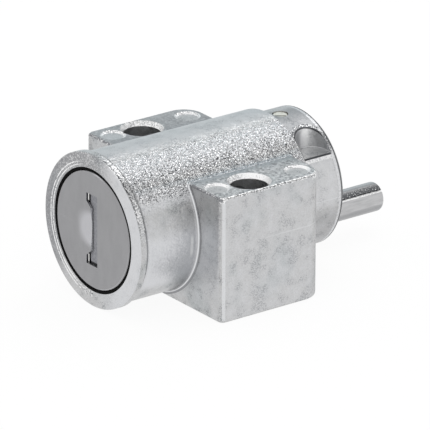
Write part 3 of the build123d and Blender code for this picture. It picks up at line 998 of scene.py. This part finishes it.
# The shutter's unfaced sheet behind the keyway: darker than the cap, with a fine grain and painted shadow
# along its foot.
DULL_STAINLESS = FootShadedSheet(
    name="dull_stainless_sheet", colour="#9b9ca1", roughness=0.6, metallic=0.25, shade="#6c6d72",
    streak_size=(0.25, 0.25, 0.25), streak_share=0.6,
)
# Steel with bright zinc plating: light grey, a little glossier than the casting.
PLATED_STEEL = FineMetal(
    name="zinc_plated_steel", colour="#b4b5b6", roughness=0.3, shade="#8e9092",
    streak_size=(0.5, 0.5, 0.5),
)
# Cold-drawn spring wire: darker and glossy.
SPRING_WIRE = FineMetal(
    name="drawn_spring_wire", colour="#8d8e92", roughness=0.28, shade="#6b6c70",
    streak_size=(0.1, 0.1, 0.1),
)
# Free-cutting brass off the lathe, nickel plated: a warm near white with fine tool lines, so that its
# chamfer shows as a white glint in the keyway.
PLATED_BRASS = KeyedBrass(
    name="nickel_plated_brass", colour="#fbfbfa", roughness=0.25, shade="#eeeeea",
    streak_size=(0.12, 3.0, 0.12), streak_share=0.6,
)
# Stamped brass sheet: yellow with a soft gloss.
STAMPED_BRASS = FineMetal(
    name="stamped_brass", colour="#c8ab6a", roughness=0.3, shade="#a98d50",
    streak_size=(0.12, 3.0, 0.12), streak_share=0.6,
)
# A turned pin of pale brass, dulled by the drum: barely warmer than the zinc.
PALE_BRASS = PressedPin(
    name="turned_brass_pin", colour="#eeebe2", roughness=0.35, shade="#dcd7ca",
    streak_size=(0.2, 0.2, 3.0), streak_share=0.6, streak_height=0.004,
)
# Moulded black rubber: matt and even.
BLACK_RUBBER = FineMetal(
    name="moulded_rubber", colour="#060606", roughness=0.8, metallic=0.0, specular=0.1,
    shade="#121213", streak_size=(0.15, 0.15, 0.15), streak_height=0.006,
)


def dress(nodes: list[str], material: Material) -> None:
    """Gives parts of the model a finish.

    Args:
        nodes: The parts' names.
        material: The finish's material.
    """
    for name in nodes:
        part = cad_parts[name]
        part.data.materials.clear()
        part.data.materials.append(material)
        log.info("%s wears %s", name, material.name)


def square_sheet(name: str, side: float, height: float, material: Material) -> bpy.types.Object:
    """Makes a level square sheet for the studio.

    Args:
        name: The sheet's name.
        side: Its side in millimetres.
        height: How high it lies in its own frame, in millimetres.
        material: What covers it.

    Returns:
        The sheet, which is in the scene.
    """
    half, level = side / 2 * MM, height * MM
    corners = [(x * half, y * half, level) for x, y in ((-1, -1), (1, -1), (1, 1), (-1, 1))]
    mesh = bpy.data.meshes.new(name)
    mesh.from_pydata(corners, [], [(0, 1, 2, 3)])
    mesh.materials.append(material)
    sheet = bpy.data.objects.new(name, mesh)
    bpy.context.scene.collection.objects.link(sheet)
    return sheet


@dataclass(frozen=True)
class Hanging:
    """Where a square lamp or card hangs: the way to it from the lock, and its sizes in mm."""

    name: str
    way: Triple
    distance: float
    side: float


@dataclass
class Studio:
    """The camera, the pale floor and the soft light. Lengths are in mm, angles in degrees."""

    azimuth: float = 53.173
    elevation: float = 21.854
    roll: float = 0.238
    distance: float = 800.0
    clip_start: float = 40.0
    focal_pixels: float = 6117.249
    picture_pixels: float = 430.0
    sensor_width: float = 36.0
    target: Triple = (0.0, 2.59, 9.5455)
    aim_right: float = 0.559
    aim_up: float = -1.264
    floor_size: float = 4000.0
    floor_drop: float = 0.02
    floor_glow: float = 0.92
    lamp_radiance: float = 1.4
    top_lamp: Hanging = Hanging("top_lamp", way=(-0.2, 0.556, 0.8), distance=400.0, side=180.0)
    far_card: Hanging = Hanging("far_card", way=(-0.83, 0.556, 0.3), distance=100.0, side=110.0)
    gap_card: Hanging = Hanging("gap_card", way=(0.22, 0.556, 0.8), distance=400.0, side=200.0)

    def axes(self) -> tuple[Vector, Vector, Vector]:
        """Works out where the camera's sides point.

        Returns:
            The camera's right, up and back directions.
        """
        turn, lift, roll = map(math.radians, (self.azimuth, self.elevation, self.roll))
        back = Vector(
            (math.sin(turn) * math.cos(lift), -math.cos(turn) * math.cos(lift), math.sin(lift))
        )
        right = Vector((math.cos(turn), math.sin(turn), 0.0))
        up = back.cross(right)
        cosine, sine = math.cos(roll), math.sin(roll)
        return cosine * right + sine * up, cosine * up - sine * right, back

    def place_camera(self) -> None:
        """Makes the camera at the photograph's viewing angle."""
        right, up, back = self.axes()
        aim = Vector(self.target) + self.aim_right * right + self.aim_up * up
        lens = bpy.data.cameras.new("camera")
        lens.sensor_width = self.sensor_width
        lens.lens = self.focal_pixels / self.picture_pixels * self.sensor_width
        lens.clip_start = self.clip_start * MM
        lens.clip_end = self.floor_size * MM
        camera = bpy.data.objects.new("camera", lens)
        turn = Matrix((right, up, back)).transposed().to_4x4()
        camera.matrix_world = Matrix.Translation((aim + self.distance * back) * MM) @ turn
        bpy.context.scene.collection.objects.link(camera)
        bpy.context.scene.camera = camera
        log.info("camera placed")

    def seen_directly(self, tree: Tree) -> Socket:
        """Marks the rays that see the white background.

        Args:
            tree: The floor's node tree.

        Returns:
            A socket that is 1 for camera, glossy and transmission rays.
        """
        path = add_node(tree, "ShaderNodeLightPath")
        seen = path.outputs[Ray.CAMERA.value]
        for ray in (Ray.GLOSSY, Ray.TRANSMISSION):
            links = {0: seen, 1: path.outputs[ray.value]}
            seen = add_node(tree, "ShaderNodeMath", links, operation="MAXIMUM").outputs[0]
        return seen

    def lay_floor(self) -> None:
        """Lays the pale floor, which stays white around the lock's soft shadow."""
        material = blank_material("pale_floor")
        tree = material.node_tree
        matt = add_node(tree, "ShaderNodeBsdfDiffuse", values={"Color": linear(WHITE)})
        glow = add_node(tree, "ShaderNodeEmission", values={"Color": linear(WHITE)})
        links, values = {0: self.seen_directly(tree)}, {1: self.floor_glow}
        share = add_node(tree, "ShaderNodeMath", links, values, operation="MULTIPLY")
        links = {0: share.outputs[0], 1: matt.outputs[0], 2: glow.outputs[0]}
        mixed = add_node(tree, "ShaderNodeMixShader", links)
        add_node(tree, "ShaderNodeOutputMaterial", {"Surface": mixed.outputs[0]})
        floor = square_sheet("floor", self.floor_size, -self.floor_drop, material)
        log.info("floor laid")

    def light_world(self) -> None:
        """Lights the room evenly with plain white, which the camera and the metal see too."""
        world = bpy.data.worlds.new("studio")
        world.use_nodes = True
        tree = world.node_tree
        tree.nodes.clear()
        sky = add_node(tree, "ShaderNodeBackground", values={"Color": linear(WHITE)})
        add_node(tree, "ShaderNodeOutputWorld", {"Surface": sky.outputs[0]})
        bpy.context.scene.world = world
        log.info("world lit")

    def facing_lock(self, hanging: Hanging) -> Matrix:
        """Works out the place of a lamp or card that faces the lock.

        Args:
            hanging: The way to it and its distance.

        Returns:
            Its place and turn.
        """
        toward = Vector(hanging.way).normalized()
        place = (Vector(self.target) + hanging.distance * toward) * MM
        return Matrix.Translation(place) @ toward.to_track_quat("Z", "Y").to_matrix().to_4x4()

    def hang_lamp(self, hanging: Hanging) -> None:
        """Hangs a square soft lamp, whose face looks as bright as lamp_radiance, where 1 is white.

        Args:
            hanging: The lamp's name, place and side.
        """
        lamp = bpy.data.lights.new(hanging.name, "AREA")
        lamp.shape = "SQUARE"
        lamp.size = hanging.side * MM
        lamp.energy = self.lamp_radiance * math.pi * (hanging.side * MM) ** 2
        hung = bpy.data.objects.new(hanging.name, lamp)
        hung.matrix_world = self.facing_lock(hanging)
        bpy.context.scene.collection.objects.link(hung)
        log.info("lamp %s hung", hanging.name)

    def hang_card(self, hanging: Hanging, tone: Tone) -> None:
        """Hangs a square card that shows only in the metal's reflections.

        Args:
            hanging: The card's name, place and side.
            tone: How dark the card is.
        """
        material = blank_material(hanging.name)
        tree = material.node_tree
        face = add_node(tree, "ShaderNodeEmission", values={"Color": linear(tone.value)})
        add_node(tree, "ShaderNodeOutputMaterial", {"Surface": face.outputs[0]})
        card = square_sheet(hanging.name, hanging.side, 0.0, material)
        card.matrix_world = self.facing_lock(hanging)
        card.visible_camera = False
        card.visible_diffuse = False
        card.visible_shadow = False
        log.info("card %s hung", hanging.name)

    def set_up(self) -> None:
        """Sets up the whole studio."""
        bpy.context.scene.view_settings.view_transform = "Standard"
        self.place_camera()
        self.lay_floor()
        self.light_world()
        self.hang_lamp(self.top_lamp)
        self.hang_card(self.far_card, Tone.COOL)
        self.hang_card(self.gap_card, Tone.BLACK)


@dataclass
class Housing:
    """The zinc casting with its lugs."""

    def dress(self) -> None:
        """Gives the casting its skin."""
        dress(["housing"], ZINC_CASTING.material())


@dataclass
class KeySide:
    """What the key meets: the cap, its seal and the dust shutter with its pin. Sizes in mm."""

    cap_front: float = 0.1
    cap_thickness: float = 0.3
    pick_margin: float = 0.02
    lip_x: float = -0.46
    lip_half_height: float = 3.0
    lip_reach: float = 3.2
    lip_depth: float = 0.24
    grid_step: float = 0.16

    def build_cap(self) -> bpy.types.Object:
        """Makes the cap with its lip dished in one smooth sweep to the keyway.

        Returns:
            The cap, which stands for the plain one.
        """
        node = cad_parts["face_cap"]
        form = bmesh.new()
        form.from_mesh(node.data)
        self.cut_grid(form)
        front = (self.cap_front - SCREW_STATION) * MM
        back = front + self.cap_thickness * MM
        for point in form.verts:
            x = point.co.x / MM
            z = point.co.z / MM - AXIS_HEIGHT
            on_front = point.co.y < back - self.pick_margin * MM
            if on_front and self.lip_x - self.lip_reach < x < 0 and abs(z) < self.lip_half_height:
                point.co.y = front + self.dish(x, z) * MM
        mesh = bpy.data.meshes.new("dished_cap")
        form.to_mesh(mesh)
        form.free()
        mesh.shade_smooth()
        cap = bpy.data.objects.new("dished_cap", mesh)
        bpy.context.scene.collection.objects.link(cap)
        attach(cap, "plug")
        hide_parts("face_cap")
        log.info("dished cap built with %d points", len(mesh.vertices))
        return cap

    def cut_grid(self, form: bmesh.types.BMesh) -> None:
        """Cuts a fine grid of lines into the mesh round the lip.

        Args:
            form: The cap's mesh.
        """
        left = self.lip_x - self.lip_reach
        columns = math.ceil(self.lip_reach / self.grid_step)
        rows = math.ceil(2 * self.lip_half_height / self.grid_step)
        cuts = [((left + k * self.lip_reach / columns, 0.0), (1, 0, 0)) for k in range(columns)]
        for k in range(rows + 1):
            height = -self.lip_half_height + 2 * k * self.lip_half_height / rows
            cuts.append(((0.0, height + AXIS_HEIGHT), (0, 0, 1)))
        for (x, z), way in cuts:
            geometry = [*form.verts, *form.edges, *form.faces]
            bmesh.ops.bisect_plane(form, geom=geometry, plane_co=(x * MM, 0, z * MM), plane_no=way)

    def dish(self, x: float, z: float) -> float:
        """Works out how deep the lip is dished at a place.

        Args:
            x: The place across the cap.
            z: The place up from the cylinder's axis.

        Returns:
            The depth.
        """
        along = max(0.0, min(1.0, 1 + (x - self.lip_x) / self.lip_reach))
        up = max(0.0, 1 - (z / self.lip_half_height) ** 2)
        return self.lip_depth * along**2 * up**1.5

    def dress(self) -> None:
        """Builds the cap, and dresses it, the seal, shutter, sleeve, washer and pin."""
        satin = SATIN_STAINLESS.material()
        self.build_cap().data.materials.append(satin)
        dress(["face_cap"], satin)
        dress(["dust_shutter"], DULL_STAINLESS.material())
        dress(["face_seal"], BLACK_RUBBER.material())
        dress(["shutter_pin", "cylinder_sleeve", "thrust_washer"], PLATED_STEEL.material())


@dataclass
class Core:
    """The plug with its wafers, springs and retainer."""

    wafer_count: int = 7

    def dress(self) -> None:
        """Gives the plug and all it carries their finishes."""
        numbers = range(1, self.wafer_count + 1)
        wafers = [f"wafer_{number}" for number in numbers]
        springs = [f"wafer_spring_{number}" for number in numbers]
        dress(["plug"], PLATED_BRASS.material())
        dress(["plug_retainer", *wafers], STAMPED_BRASS.material())
        dress(["shutter_spring", "retainer_spring", *springs], SPRING_WIRE.material())


@dataclass
class Drive:
    """The driver with its off-centre pin, and the brass pin that holds it in."""

    def dress(self) -> None:
        """Dresses the driver and the retaining pin."""
        dress(["driver"], DRIVER_CASTING.material())
        dress(["retaining_pin"], PALE_BRASS.material())


def main() -> None:
    """Builds the studio and dresses each sub-assembly in order."""
    logging.basicConfig(level=logging.INFO, format="%(message)s")
    Studio().set_up()
    for part in (Housing(), KeySide(), Core(), Drive()):
        part.dress()
        log.info("%s done", type(part).__name__)


if __name__ == "__main__":
    main()
